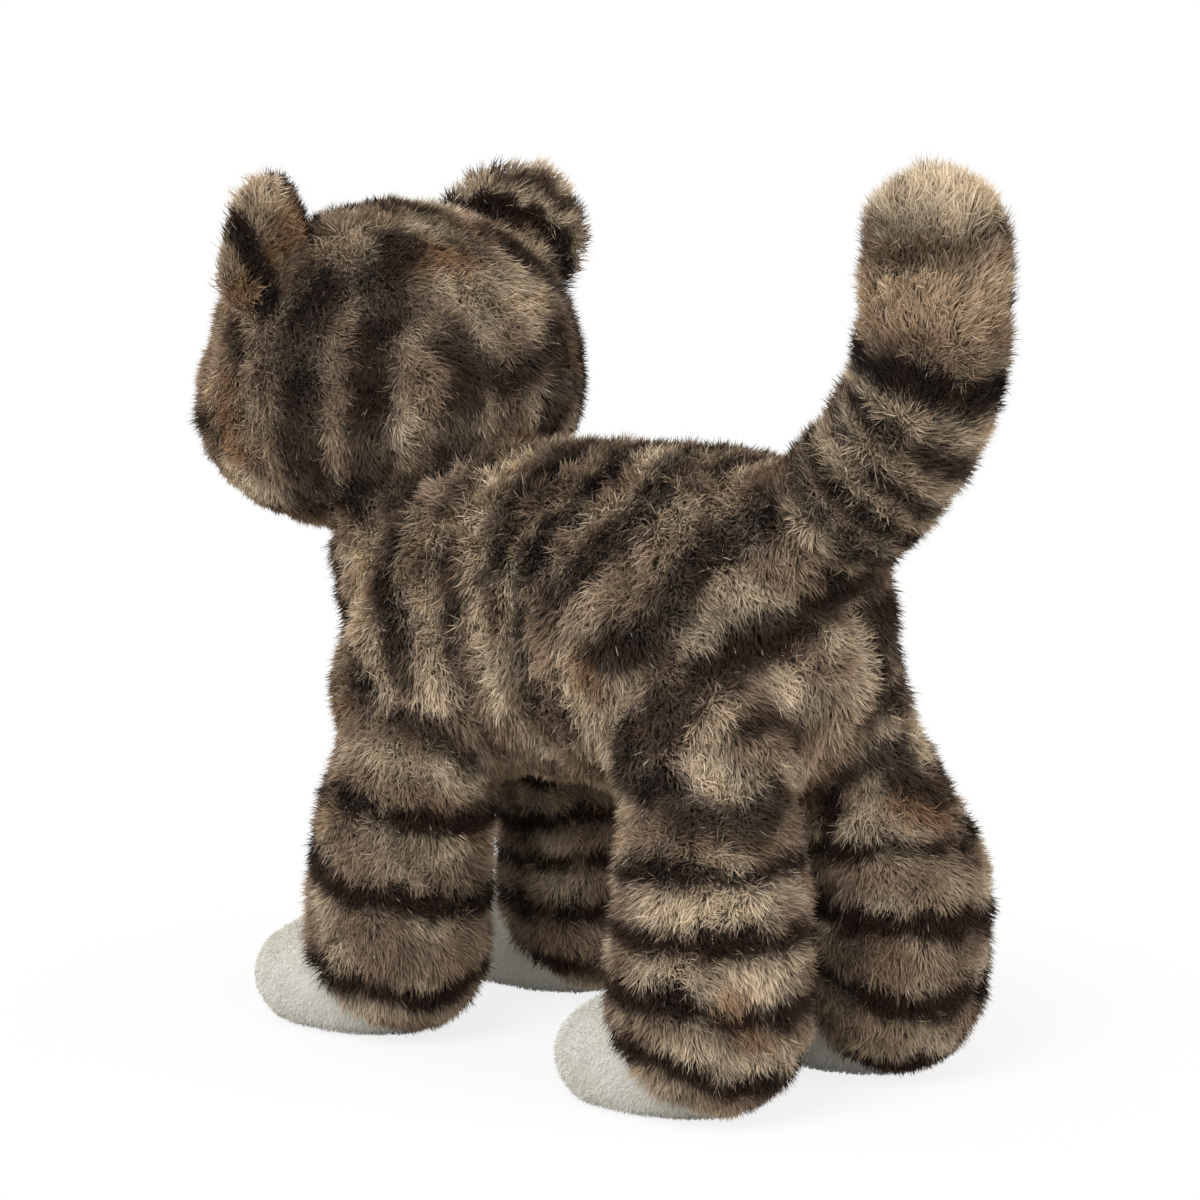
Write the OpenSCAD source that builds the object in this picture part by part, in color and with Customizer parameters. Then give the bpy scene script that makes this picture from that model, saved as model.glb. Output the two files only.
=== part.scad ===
// Plush tabby kitten, standing, tail up.
// Every limb is a fur skin round its own firm stuffing. A limb's top turns in a
// round seat in the trunk, so each one can flex about its sewn root.
// Millimetres. The kitten faces -Y, its left is +X, and it stands on z = 0.

/* [Trunk] */
// Radius of the trunk's skin
trunk_r = 33; // [30:0.5:36]
// Height of the trunk's middle line above the floor
trunk_h = 94; // [89:1:99]
// Where the straight part of the trunk starts, behind the chest
chest_y = -38; // [-43:0.5:-34]
// Where the straight part of the trunk ends, before the rump
rump_y = 42.5; // [38:0.5:46]
// How far the chest and the rump round out past the straight part
end_len = 30; // [26:1:34]
// Thickness of the fur fabric's backing and underlay
skin = 1.4; // [1:0.1:2]

/* [Head] */
// Height of the head's centre above the floor
head_h = 137; // [132:1:142]
// How far the head's centre is ahead of the trunk's middle
head_fwd = 64.5; // [61:0.5:68]
// Half width of the head
head_r = 39; // [36:0.5:41]
// Half height of the head
head_c = 34; // [31:0.5:36]
// Radius of each cheek's padding
cheek_r = 19; // [16:0.5:20]
// Radius of the muzzle
muzzle_r = 15; // [12:0.5:17]
// Radius of a safety eye
eye_r = 5.5; // [4:0.25:6]

/* [Ears] */
// Width of an ear across its base
ear_w = 30; // [26:1:34]
// Height of an ear above its base
ear_h = 24; // [20:1:28]
// How far each ear turns outwards
ear_turn = 35; // [20:1:45]
// How far each ear leans outwards
ear_lean = 30; // [20:1:40]

/* [Legs] */
// Distance of each leg's middle from the centre line
leg_x = 25; // [24:0.5:27]
// Radius of a leg's skin
leg_r = 18; // [16:0.5:19]
// Height of the shoulder and hip centres
hip_h = 74; // [70:1:78]
// Where the front legs stand
front_y = -32; // [-35:0.5:-29]
// Where the hind legs stand
hind_y = 62; // [59:0.5:65]
// Radius of the haunch that turns in the trunk
haunch_r = 19; // [19:0.5:22]
// How far each paw reaches ahead of its leg
paw_fwd = 20; // [15:1:22]
// Height of a paw
paw_h = 27; // [22:1:30]

/* [Tail] */
// Radius of the tail's skin
tail_r = 12.5; // [11:0.5:14]
// Height of the tail's tip
tail_top = 193.5; // [180:0.5:200]
// Bend radius where the tail turns upright
tail_bend = 40; // [35:1:50]

/* [Output] */
// The piece to draw

/* [Hidden] */
e = 0.1;                        // space left between neighbouring pieces
joint = 0.5;                    // space left round each flexing root
slab = 12;                      // half width of the trunk between the haunches
head_o = [0, -head_fwd, head_h];
seat_r = head_r + 6.5;          // radius of the neck's seat in the trunk
tail_o = [0, 66, 116];          // middle of the tail's root
tail_a = 45;                    // the root's slope
big = 400;
$fn = 48;

function arc(r, c, z0, a0, a1, s = 10) =
  [for (t = [a0:s:a1]) [r * cos(t), z0 + c * sin(t)]];

// ---------- shared shapes, each taken in by d ----------

// Stations along the trunk, chest to rump: [along, up, half width, half height].
stations = [
  [chest_y - 5, trunk_h - 4, trunk_r - 9, trunk_r - 9],
  [chest_y + 3, trunk_h - 2, trunk_r - 3, trunk_r - 3],
  [chest_y + 13, trunk_h - 1, trunk_r - 1, trunk_r - 1],
  [chest_y + 27, trunk_h, trunk_r - 1, trunk_r],
  [(chest_y + rump_y) / 2 + 6, trunk_h, trunk_r - 1, trunk_r],
  [rump_y - 13, trunk_h, trunk_r, trunk_r],
  [rump_y - 2, trunk_h, trunk_r, trunk_r - 1],
  [rump_y + 5, trunk_h - 1, trunk_r - 3, trunk_r - 3],
  [rump_y + 11, trunk_h - 2, trunk_r - 10, trunk_r - 9]];

module station(i, d) {
  s = stations[i];
  translate([0, s[0], s[1]])
    scale([s[2] - d, min(s[2], end_len) * 0.85 - d, s[3] - d]) sphere(1, $fn = 28);
}

module trunk(d = 0) {
  for (i = [0:len(stations) - 2]) hull() { station(i, d); station(i + 1, d); }
}

module head_form(d = 0) {
  translate(head_o) {
    rotate_extrude($fn = 64) polygon(arc(head_r - d, head_c - d, 0, -90, 90));
    for (s = [-1, 1]) translate([s * 21, -9, -9]) sphere(cheek_r - d);
  }
}

module muzzle_form(d = 0) {
  translate(head_o + [0, -30, -10]) sphere(muzzle_r - d);
}

// The tail's middle line: a sloping length, a bend and an upright end.
tail_run = 30;
bend_len = 0.01745 * (90 - tail_a) * tail_bend;
bend_top = tail_o + [0, tail_run * cos(tail_a) + tail_bend * (1 - sin(tail_a)),
  tail_run * sin(tail_a) + tail_bend * cos(tail_a)];
tail_len = tail_run + bend_len + tail_top - tail_r - bend_top[2];

function tail_at(w) =
  w < tail_run ? tail_o + w * [0, cos(tail_a), sin(tail_a)]
  : w < tail_run + bend_len
    ? let (a = tail_a + (w - tail_run) / bend_len * (90 - tail_a))
      tail_o + [0, tail_run * cos(tail_a) + tail_bend * (sin(a) - sin(tail_a)),
        tail_run * sin(tail_a) + tail_bend * (cos(tail_a) - cos(a))]
    : bend_top + [0, 0, w - tail_run - bend_len];

module tail_form(d = 0) {
  for (i = [0:7]) hull() {
    translate(tail_at(i / 8 * tail_len)) sphere(tail_r - d, $fn = 24);
    translate(tail_at((i + 1) / 8 * tail_len)) sphere(tail_r - d, $fn = 24);
  }
}

// A haunch is a dome about the hip, flat against the trunk on its inner side.
module haunch(d = 0) {
  r = haunch_r - d;
  translate([slab + joint + d, 0, hip_h]) rotate([0, 90, 0])
    rotate_extrude($fn = 64)
      polygon(concat([[0, 0]],
        [for (t = [0:0.125:1]) [r * pow(sin(90 * (1 - t)), 0.6),
          (haunch_r - 2 * d) * pow(t, 0.6)]]));
}

// A leg is turned about its upright axis and closes in towards the hip.
module leg_post(d = 0) {
  translate([leg_x, 0, 0]) rotate_extrude($fn = 64)
    polygon(concat([[0, 3 + d], [leg_r - 2 - d, 3 + d]],
      arc(leg_r - d, 36 - d, 42, 0, 90)));
}

module button(r, d) {
  rotate_extrude($fn = 32) polygon(concat(
    [[0, 1.6 + d], [r - 4 - d, 1.6 + d]],
    arc(r - d, paw_h - 9 - d, 9, 0, 90, 15)));
}

module paw_form(d = 0) {
  hull() {
    translate([leg_x, -2, 0]) button(leg_r, d);
    translate([leg_x, -paw_fwd, 0]) button(leg_r, d);
  }
}

// Everything of a left leg above the sole, outside the trunk's middle slab.
module leg_form(d = 0) {
  haunch(d);
  intersection() {
    leg_post(d);
    union() {
      translate([slab + joint + d, -big / 2, 0]) cube(big);
      translate([-big / 2, -big / 2, 0]) cube([big, big, 54]);
    }
  }
  paw_form(d);
}

// The half space ahead of the slanting seam of a paw cap, moved back by g.
module toe_side(g) {
  translate([0, g + 9, 0]) rotate([48, 0, 0])
    translate([-big / 2, -big, -big / 2]) cube(big);
}

module bean_form(g) {
  translate([leg_x, -6, 11]) rotate_extrude($fn = 48)
    polygon(arc(10 + g, 6 + g, 0, -90, 90, 15));
}

module sole_outline(r) {
  hull() {
    translate([leg_x, -2]) circle(r, $fn = 32);
    translate([leg_x, -paw_fwd]) circle(r, $fn = 32);
  }
}

// ---------- the pieces of a left leg standing at y = 0 ----------

module leg_skin() {
  difference() {
    leg_form(0);
    leg_form(skin);
    toe_side(e);
    sole_hole();
  }
}

module paw_cap() {
  difference() {
    intersection() { paw_form(0); toe_side(0); }
    leg_form(skin);
    sole_hole();
  }
}

module leg_stuffing() {
  difference() {
    leg_form(skin + e);
    bean_form(e);
  }
}

// The sole is short plush over a felt stiffener, let into the foot of the skin.
module sole() linear_extrude(skin + 1.6) sole_outline(leg_r - 4.5);
module sole_hole()
  translate([0, 0, -1]) linear_extrude(skin + 2.7) sole_outline(leg_r - 4.5 + e);

module at_leg(side, y) translate([0, y, 0]) mirror([side < 0 ? 1 : 0, 0, 0]) children();

// ---------- seats cut in the trunk ----------

// Room for a haunch to turn and for the leg below it to swing.
module hip_seat(y) {
  for (s = [0, 1]) mirror([s, 0, 0]) {
    translate([slab, y, hip_h]) rotate([0, 90, 0])
      cylinder(r = haunch_r + joint, h = 60, $fn = 64);
    translate([slab, y - haunch_r - 2, 20]) cube([60, 2 * haunch_r + 4, hip_h - 20]);
  }
}

module neck_seat(g = 0) translate(head_o) sphere(seat_r + g, $fn = 64);

// Room for the tail's root ball, and a notch for the tail at every slope it takes.
module tail_seat() {
  w = tail_r + 0.8;
  translate(tail_o) {
    sphere(w);
    rotate([90, 0, 90]) translate([0, 0, -w]) linear_extrude(2 * w)
      polygon([[0, 0],
        [w * sin(12), -w * cos(12)],
        [w * sin(12) + 50, -w * cos(12) + 8],
        [50, 60],
        [-w * sin(68) + 22, w * cos(68) + 55],
        [-w * sin(68), w * cos(68)]]);
  }
}

module seats() {
  hip_seat(front_y);
  hip_seat(hind_y);
  neck_seat();
  tail_seat();
}

// ---------- trunk ----------

belly_z = trunk_h - 23;

module belly_half_space(g) translate([-big / 2, -big / 2, belly_z - big - g]) cube(big);

module body_side(s) {
  difference() {
    trunk(0);
    trunk(skin);
    belly_half_space(-e / 2);
    translate([s > 0 ? -big + e / 2 : -e / 2, -big / 2, 0]) cube(big);
    seats();
  }
}

module body_side_left() color("#85705a") body_side(1);
module body_side_right() color("#85705a") body_side(-1);

module belly_panel() color("#b7a88e")
  difference() {
    intersection() { trunk(0); belly_half_space(e / 2); }
    trunk(skin);
    seats();
  }

// The trunk's bean bag lies in a slit that is open towards the belly panel.
module bean_bag_form(g) {
  translate([0, 14.5, 71]) rotate([-90, 0, 0]) translate([0, 0, -16 - g])
    cylinder(r = 7.5 + g, h = 32 + 2 * g);
}

module body_stuffing() color("#f4f2ec")
  difference() {
    trunk(skin + e);
    bean_bag_form(e);
    translate([-6, -1.5 - e, 40]) cube([12, 32 + 2 * e, 31]);
    seats();
  }

module belly_bean_bag() color("#d9d2c0") bean_bag_form(0);

// The neck's stuffing is a bowl under the head, and turns about the neck's axis.
module neck_stuffing() color("#f4f2ec")
  difference() {
    intersection() {
      neck_seat(-joint);
      translate([0, 8 - head_fwd, 0]) cylinder(r = 17, h = head_h);
    }
    translate(head_o) sphere(head_r + joint, $fn = 64);
  }

// ---------- head ----------

// The upright strip over the crown, from the nose to the nape.
module crown_strip(g) {
  translate([-11 - g, -big / 2, head_h - 18 - g]) cube([22 + 2 * g, big, big]);
}

module eye_frame(s) {
  translate(head_o + [s * 15, -32.4, 6]) rotate([80, 0, s * 24]) children();
}

module shank(g) translate([0, 0, -9 - g]) cylinder(r = 1.8 + g, h = 10.5 + g, $fn = 24);
module washer_body(g) translate([0, 0, -5.2 - g]) cylinder(r = 6 + g, h = 1.6 + 2 * g);

// Root rolls of the ears lie in grooves along the crown.
module ear_frame(s) {
  mirror([s < 0 ? 1 : 0, 0, 0]) translate(head_o + [28, -4, 24])
    rotate([0, 0, ear_turn]) rotate([0, ear_lean, 0]) children();
}

module ear_roll(r, h) rotate([0, 90, 0]) cylinder(r = r, h = h, center = true);

module head_holes() {
  for (s = [-1, 1]) {
    eye_frame(s) {
      shank(0.15);
      translate([0, 0, 0.6]) cylinder(r = eye_r + 0.15, h = 8, $fn = 32);
    }
    ear_frame(s) ear_roll(3.5, ear_w + 2);
  }
}

module head_side(s) {
  difference() {
    head_form(0);
    head_form(skin);
    crown_strip(e / 2);
    translate([s > 0 ? -big + e / 2 : -e / 2, -big / 2, 0]) cube(big);
    head_holes();
  }
}

module head_side_left() color("#7d6a56") head_side(1);
module head_side_right() color("#7d6a56") head_side(-1);

module head_gusset() color("#6b5846")
  difference() {
    intersection() { head_form(0); crown_strip(-e / 2); }
    head_form(skin);
    head_holes();
  }

module head_stuffing() color("#f4f2ec")
  difference() {
    head_form(skin + e);
    head_holes();
    for (s = [-1, 1]) eye_frame(s) {
      shank(0.2);
      washer_body(0.2);
    }
  }

module muzzle_skin() color("#e6e0d2")
  difference() {
    muzzle_form(0);
    muzzle_form(skin);
    head_form(-e);
    nose_body(0.1);
  }

module muzzle_stuffing() color("#f4f2ec")
  difference() {
    muzzle_form(skin + e);
    head_form(-e);
    nose_body(0.1);
  }

module nose_body(g) {
  translate(head_o + [0, -45, -4.5]) rotate([90, 0, 0])
    translate([0, 0, -2 - g]) linear_extrude(4 + 2 * g)
      hull() {
        translate([0, -2]) circle(1.6 + g, $fn = 24);
        for (s = [-1, 1]) translate([s * 2.8, 1.4]) circle(1.6 + g, $fn = 24);
      }
}

module nose() color("#b98079") nose_body(0);

// A safety eye: a domed button with a flange, on a shank that the washer grips.
module eye(s) {
  eye_frame(s) {
    translate([0, 0, 0.8]) rotate_extrude() polygon(concat([[0, 0]],
      arc(eye_r, 3.6, 0.6, 0, 90)));
    shank(0);
  }
}

module eye_left() color("#2a1a10") eye(1);
module eye_right() color("#2a1a10") eye(-1);

module eye_washer(s) eye_frame(s) difference() {
  washer_body(0);
  shank(0.05);
}

module eye_washer_left() color("#f0f0f0") eye_washer(1);
module eye_washer_right() color("#f0f0f0") eye_washer(-1);

// ---------- ears ----------

module ear_outline() {
  hull() {
    translate([0, ear_h - 7]) circle(7, $fn = 32);
    for (s = [-1, 1]) translate([s * (ear_w / 2 - 5), 8]) circle(5, $fn = 32);
    translate([-ear_w / 2 + 3, 0]) square([ear_w - 6, 1]);
  }
}

// One fabric of an ear with its half of the root roll. The two meet at y = 0.
module ear_panel(s, back) {
  ear_frame(s) intersection() {
    union() {
      ear_roll(3, ear_w - 6);
      rotate([90, 0, 0]) translate([0, 0, -1.8]) linear_extrude(3.6) ear_outline();
    }
    translate([-50, back ? e / 2 : -100 - e / 2, -50]) cube(100);
  }
}

module ear_back_left() color("#6b5846") ear_panel(1, true);
module ear_lining_left() color("#e9dccb") ear_panel(1, false);
module ear_back_right() color("#6b5846") ear_panel(-1, true);
module ear_lining_right() color("#e9dccb") ear_panel(-1, false);

// ---------- tail ----------

// The tail's skin is open at the root, where it is filled and sewn on.
module tail_skin() color("#85705a")
  difference() {
    tail_form(0);
    tail_form(skin);
    translate(tail_o) rotate([tail_a - 90, 0, 0])
      translate([0, 0, -2 * tail_r]) cylinder(r = 6, h = 2 * tail_r);
  }

module tail_stuffing() color("#f4f2ec") tail_form(skin + e);

// ---------- legs ----------

module front_leg_skin_left() color("#85705a") at_leg(1, front_y) leg_skin();
module front_leg_stuffing_left() color("#f4f2ec") at_leg(1, front_y) leg_stuffing();
module front_paw_cap_left() color("#e9e6dc") at_leg(1, front_y) paw_cap();
module front_sole_left() color("#e0dccf") at_leg(1, front_y) sole();
module front_bean_bag_left() color("#d9d2c0") at_leg(1, front_y) bean_form(0);

module front_leg_skin_right() color("#85705a") at_leg(-1, front_y) leg_skin();
module front_leg_stuffing_right() color("#f4f2ec") at_leg(-1, front_y) leg_stuffing();
module front_paw_cap_right() color("#e9e6dc") at_leg(-1, front_y) paw_cap();
module front_sole_right() color("#e0dccf") at_leg(-1, front_y) sole();
module front_bean_bag_right() color("#d9d2c0") at_leg(-1, front_y) bean_form(0);

module hind_leg_skin_left() color("#85705a") at_leg(1, hind_y) leg_skin();
module hind_leg_stuffing_left() color("#f4f2ec") at_leg(1, hind_y) leg_stuffing();
module hind_paw_cap_left() color("#e9e6dc") at_leg(1, hind_y) paw_cap();
module hind_sole_left() color("#e0dccf") at_leg(1, hind_y) sole();
module hind_bean_bag_left() color("#d9d2c0") at_leg(1, hind_y) bean_form(0);

module hind_leg_skin_right() color("#85705a") at_leg(-1, hind_y) leg_skin();
module hind_leg_stuffing_right() color("#f4f2ec") at_leg(-1, hind_y) leg_stuffing();
module hind_paw_cap_right() color("#e9e6dc") at_leg(-1, hind_y) paw_cap();
module hind_sole_right() color("#e0dccf") at_leg(-1, hind_y) sole();
module hind_bean_bag_right() color("#d9d2c0") at_leg(-1, hind_y) bean_form(0);

body_side_left();
body_side_right();
belly_panel();
body_stuffing();
belly_bean_bag();
neck_stuffing();
head_side_left();
head_side_right();
head_gusset();
head_stuffing();
muzzle_skin();
muzzle_stuffing();
nose();
eye_left();
eye_right();
eye_washer_left();
eye_washer_right();
ear_back_left();
ear_lining_left();
ear_back_right();
ear_lining_right();
tail_skin();
tail_stuffing();
front_leg_skin_left();
front_leg_stuffing_left();
front_paw_cap_left();
front_sole_left();
front_bean_bag_left();
front_leg_skin_right();
front_leg_stuffing_right();
front_paw_cap_right();
front_sole_right();
front_bean_bag_right();
hind_leg_skin_left();
hind_leg_stuffing_left();
hind_paw_cap_left();
hind_sole_left();
hind_bean_bag_left();
hind_leg_skin_right();
hind_leg_stuffing_right();
hind_paw_cap_right();
hind_sole_right();
hind_bean_bag_right();
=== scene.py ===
# %% [markdown]
# # A plush tabby kitten
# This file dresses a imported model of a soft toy: a standing kitten with its tail up.
# The model's hard facts (where each limb turns, where the soles stand) come from the
# frame. What is made here is what the eye meets: the sewn skin, the brushed pile on it
# with its dyed stripes, the white toe caps, the ears and the face.

# %% Frame, tools and sizes
import bpy, bmesh, math
import numpy as np
from mathutils import Matrix, Vector


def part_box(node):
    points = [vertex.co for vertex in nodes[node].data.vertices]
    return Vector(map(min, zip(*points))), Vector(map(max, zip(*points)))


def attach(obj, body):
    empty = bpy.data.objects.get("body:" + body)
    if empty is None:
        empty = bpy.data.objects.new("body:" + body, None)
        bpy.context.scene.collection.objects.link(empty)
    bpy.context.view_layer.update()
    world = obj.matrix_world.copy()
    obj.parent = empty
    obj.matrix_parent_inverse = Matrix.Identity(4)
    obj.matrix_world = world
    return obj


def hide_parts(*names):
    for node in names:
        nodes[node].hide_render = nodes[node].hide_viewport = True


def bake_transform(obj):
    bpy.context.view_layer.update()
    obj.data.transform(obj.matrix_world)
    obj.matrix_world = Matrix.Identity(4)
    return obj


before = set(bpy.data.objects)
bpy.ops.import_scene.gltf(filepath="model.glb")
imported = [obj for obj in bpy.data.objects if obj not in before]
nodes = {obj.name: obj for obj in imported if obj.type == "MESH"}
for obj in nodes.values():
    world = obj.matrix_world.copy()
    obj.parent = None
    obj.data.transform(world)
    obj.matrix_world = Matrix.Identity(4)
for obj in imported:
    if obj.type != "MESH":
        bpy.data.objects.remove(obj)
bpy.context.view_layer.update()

mm = 0.001

# %% [markdown]
# ## Camera
# A toy this size is best seen from more than a metre away through a long lens, which
# keeps its near and far legs nearly the same size. The camera stands behind the kitten's
# left side and a little above it, and looks at the middle of the trunk. A tiny shift of
# the lens centres the toy in the frame without turning the camera.

# %% Camera
aim = Vector((0, 5, 95)) * mm
azimuth, elevation, distance = math.radians(137), math.radians(10.5), 1.3
back = Vector((math.sin(azimuth) * math.cos(elevation),
               -math.cos(azimuth) * math.cos(elevation), math.sin(elevation)))
camera = bpy.data.objects.new("camera", bpy.data.cameras.new("camera"))
bpy.context.scene.collection.objects.link(camera)
camera.location = aim + back * distance
camera.rotation_euler = (-back).to_track_quat("-Z", "Y").to_euler()
film, seen_width = 36, 254.4 * mm
camera.data.sensor_width = film
camera.data.lens = film * distance / seen_width
camera.data.shift_x, camera.data.shift_y = -0.01, 0.0067
camera.data.clip_start, camera.data.clip_end = 0.05, 20
bpy.context.scene.camera = camera
print("lens, mm:", round(camera.data.lens, 1))

# %% [markdown]
# ## Light
# Fur needs broad light: a small lamp makes every fibre glitter. One large soft panel
# hangs high on the left of the camera, a weaker one fills from the right, a third lights
# the face, and the world lifts the shade under the belly. Small helpers come first: one
# turns a hex colour into light values, and two build shader nodes.

# %% Colour and node helpers
scene = bpy.context.scene
scene.view_settings.view_transform = "Standard"


def srgb(code, alpha=1.0):
    """A hex colour as the linear light values that shaders use."""
    parts = [int(code[i:i + 2], 16) / 255 for i in (1, 3, 5)]
    return tuple(v / 12.92 if v <= 0.04045 else ((v + 0.055) / 1.055) ** 2.4
                 for v in parts) + (alpha,)



def plug(tree, node, **links):
    """Gives a node's sockets their values or links. i0 is its first socket, by number."""
    for key, value in links.items():
        socket = node.inputs[int(key[1:])] if key[0] == "i" and key[1:].isdigit() \
            else node.inputs[key.replace("_", " ")]
        if isinstance(value, bpy.types.NodeSocket):
            tree.links.new(value, socket)
        else:
            socket.default_value = value
    return node


def add(tree, kind, settings=None, **links):
    """One new node with its settings, and values or links for its sockets."""
    node = tree.nodes.new(kind)
    for key, value in (settings or {}).items():
        setattr(node, key, value)
    return plug(tree, node, **links)


print("mid grey as light:", round(srgb("#808080")[0], 3))

# %% Lamps and world


def softbox(name, place, size, power):
    """A square lamp at a place in metres, turned to the toy."""
    lamp = bpy.data.objects.new(name, bpy.data.lights.new(name, "AREA"))
    lamp.data.shape, lamp.data.size, lamp.data.energy = "SQUARE", size, power
    lamp.location = Vector(place)
    lamp.rotation_euler = (aim - lamp.location).to_track_quat("-Z", "Y").to_euler()
    scene.collection.objects.link(lamp)


softbox("key_panel", (1.15, 0.35, 1.15), 0.9, 13)
softbox("fill_panel", (-0.3, 1.5, 0.7), 1.2, 7)
softbox("front_panel", (0.3, -1.3, 0.9), 1.2, 5)

world = bpy.data.worlds.new("studio")
scene.world = world
world.use_nodes = True
sky = world.node_tree
sky.nodes.clear()
rays = add(sky, "ShaderNodeLightPath")
seen = add(sky, "ShaderNodeMath", {"operation": "MAXIMUM"}, i0=rays.outputs["Is Camera Ray"],
           i1=rays.outputs["Is Glossy Ray"])
ambient = add(sky, "ShaderNodeBackground", Color=(1, 1, 1, 1), Strength=0.55)
white = add(sky, "ShaderNodeBackground", Color=(1, 1, 1, 1), Strength=1.0)
both = add(sky, "ShaderNodeMixShader", i0=seen.outputs[0], i1=ambient.outputs[0],
           i2=white.outputs[0])
add(sky, "ShaderNodeOutputWorld", Surface=both.outputs[0])

# %% [markdown]
# ## Floor
# The toy stands on a wide sheet of matt paper. To the camera the sheet fades into plain
# white some way from the toy, so that it has no edge, while it still takes the shadow
# between the feet. The lamps see paper everywhere, so the light on the toy is honest.

# %% Floor
bm = bmesh.new()
bmesh.ops.create_grid(bm, x_segments=1, y_segments=1, size=3.0)
mesh = bpy.data.meshes.new("floor")
bm.to_mesh(mesh)
bm.free()
floor = bpy.data.objects.new("floor", mesh)
scene.collection.objects.link(floor)
paper = bpy.data.materials.new("matt white paper")
paper.use_nodes = True
tree = paper.node_tree
tree.nodes.clear()
fade_from, fade_to = 60 * mm, 160 * mm
lit = add(tree, "ShaderNodeBsdfDiffuse", Color=srgb("#f2f1ee"), Roughness=1.0)
glow = add(tree, "ShaderNodeEmission", Color=(1, 1, 1, 1), Strength=1.0)
where = add(tree, "ShaderNodeTexCoord")
far = add(tree, "ShaderNodeVectorMath", {"operation": "LENGTH"}, i0=where.outputs["Object"])
fade = add(tree, "ShaderNodeMapRange", {"interpolation_type": "SMOOTHSTEP"},
           Value=far.outputs["Value"], From_Min=fade_from, From_Max=fade_to, To_Min=0.82,
           To_Max=1.0)
paths = add(tree, "ShaderNodeLightPath")
only_seen = add(tree, "ShaderNodeMath", {"operation": "MULTIPLY"},
                i0=fade.outputs["Result"], i1=paths.outputs["Is Camera Ray"])
blend_in = add(tree, "ShaderNodeMixShader", i0=only_seen.outputs[0], i1=lit.outputs[0],
               i2=glow.outputs[0])
add(tree, "ShaderNodeOutputMaterial", Surface=blend_in.outputs[0])
mesh.materials.append(paper)
print("floor, m across:", floor.dimensions.x)

# %% [markdown]
# ## The stuffed form
# A soft toy is cut from flat panels, sewn, turned and stuffed hard, so its form is a set
# of swollen bulbs that meet in creases. It could be sculpted, or lofted limb by limb.
# Here simple balls and capsules are placed where the stuffing goes, and a voxel remesh
# welds them into one closed skin, as sewing does. Cloth simulation then blows the skin up
# a little while the seams are held, so that it bulges between them.

# %% Bulbs and capsules


def ball(bm, centre, radii):
    """A ball scaled to three radii, in millimetres."""
    size = Matrix.Diagonal((*[r * mm for r in radii], 1))
    place = Matrix.Translation(Vector(centre) * mm) @ size
    bmesh.ops.create_uvsphere(bm, u_segments=32, v_segments=20, radius=1, matrix=place)


def capsule(bm, a, ra, b, rb):
    """Two balls and the skin stretched round them. A radius may be one number or three."""
    part = bmesh.new()
    for c, r in ((a, ra), (b, rb)):
        size = Matrix.Diagonal((*[v * mm for v in (r if isinstance(r, tuple) else (r, r, r))], 1))
        bmesh.ops.create_icosphere(part, subdivisions=3, radius=1,
                                   matrix=Matrix.Translation(Vector(c) * mm) @ size)
    hull = bmesh.ops.convex_hull(part, input=part.verts)
    inside = [g for g in hull["geom_interior"] if isinstance(g, bmesh.types.BMVert)]
    bmesh.ops.delete(part, geom=inside, context="VERTS")
    loose = bpy.data.meshes.new("capsule")
    part.to_mesh(loose)
    part.free()
    bm.from_mesh(loose)
    bpy.data.meshes.remove(loose)


def as_object(bm, name):
    """Turns a bmesh into an object of the scene, and lets the bmesh go."""
    mesh = bpy.data.meshes.new(name)
    bm.to_mesh(mesh)
    bm.free()
    obj = bpy.data.objects.new(name, mesh)
    scene.collection.objects.link(obj)
    return obj


def applied(obj):
    """Makes the result of an object's modifiers its mesh, and takes them off."""
    shape = bpy.data.meshes.new_from_object(
        obj.evaluated_get(bpy.context.evaluated_depsgraph_get()))
    obj.modifiers.clear()
    old, obj.data = obj.data, shape
    bpy.data.meshes.remove(old)
    return obj


def welded(obj, size, smooth=0):
    """Voxel remesh at a size in millimetres, then an even smoothing."""
    remesh = obj.modifiers.new("weld", "REMESH")
    remesh.mode, remesh.voxel_size = "VOXEL", size * mm
    applied(obj)
    bm = bmesh.new()
    bm.from_mesh(obj.data)
    for _ in range(smooth):
        bmesh.ops.smooth_vert(bm, verts=bm.verts, factor=0.5, use_axis_x=True,
                              use_axis_y=True, use_axis_z=True)
    bm.to_mesh(obj.data)
    bm.free()
    return obj

# %% [markdown]
# ## Where the stuffing goes
# The trunk is a row of ovals from the chest to the rump, the head a ball with cheeks and
# a short muzzle, and each leg a thick post on a long paw. The tail leaves the back at a
# slope, bends, and then stands upright, so its middle line is a straight, an arc and a
# straight. A remesh at 2.4 mm keeps the creases where the bulbs meet.

# %% The tail's middle line
leg_x, front_y, hind_y = 25.5, -32.0, 62.5
head_at = Vector((0, -64.5, 137.5))
tail_root, slope, run, bend = Vector((0, 66, 117)), math.radians(45), 30.0, 40.0
tail_half, step, steps_up = 12.6, 6.9, 12


def tail_line(w):
    """The tail's middle line, w millimetres from its root: a slope, a bend, upright."""
    w = float(w)
    turn = min(max(w - run, 0) / bend, math.pi / 2 - slope)
    p = tail_root + min(w, run) * Vector((0, math.cos(slope), math.sin(slope)))
    p += bend * Vector((0, math.sin(slope + turn) - math.sin(slope),
                        math.cos(slope) - math.cos(slope + turn)))
    return p + Vector((0, 0, max(w - run - bend * (math.pi / 2 - slope), 0)))


print("tail's last ball, mm:", [round(v, 1) for v in tail_line(step * (steps_up - 1))])

# %% Where the bulbs go
hip_z, thigh_z, knee_z, ankle_z = 75, 63, 42, 21
bm = bmesh.new()
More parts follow.
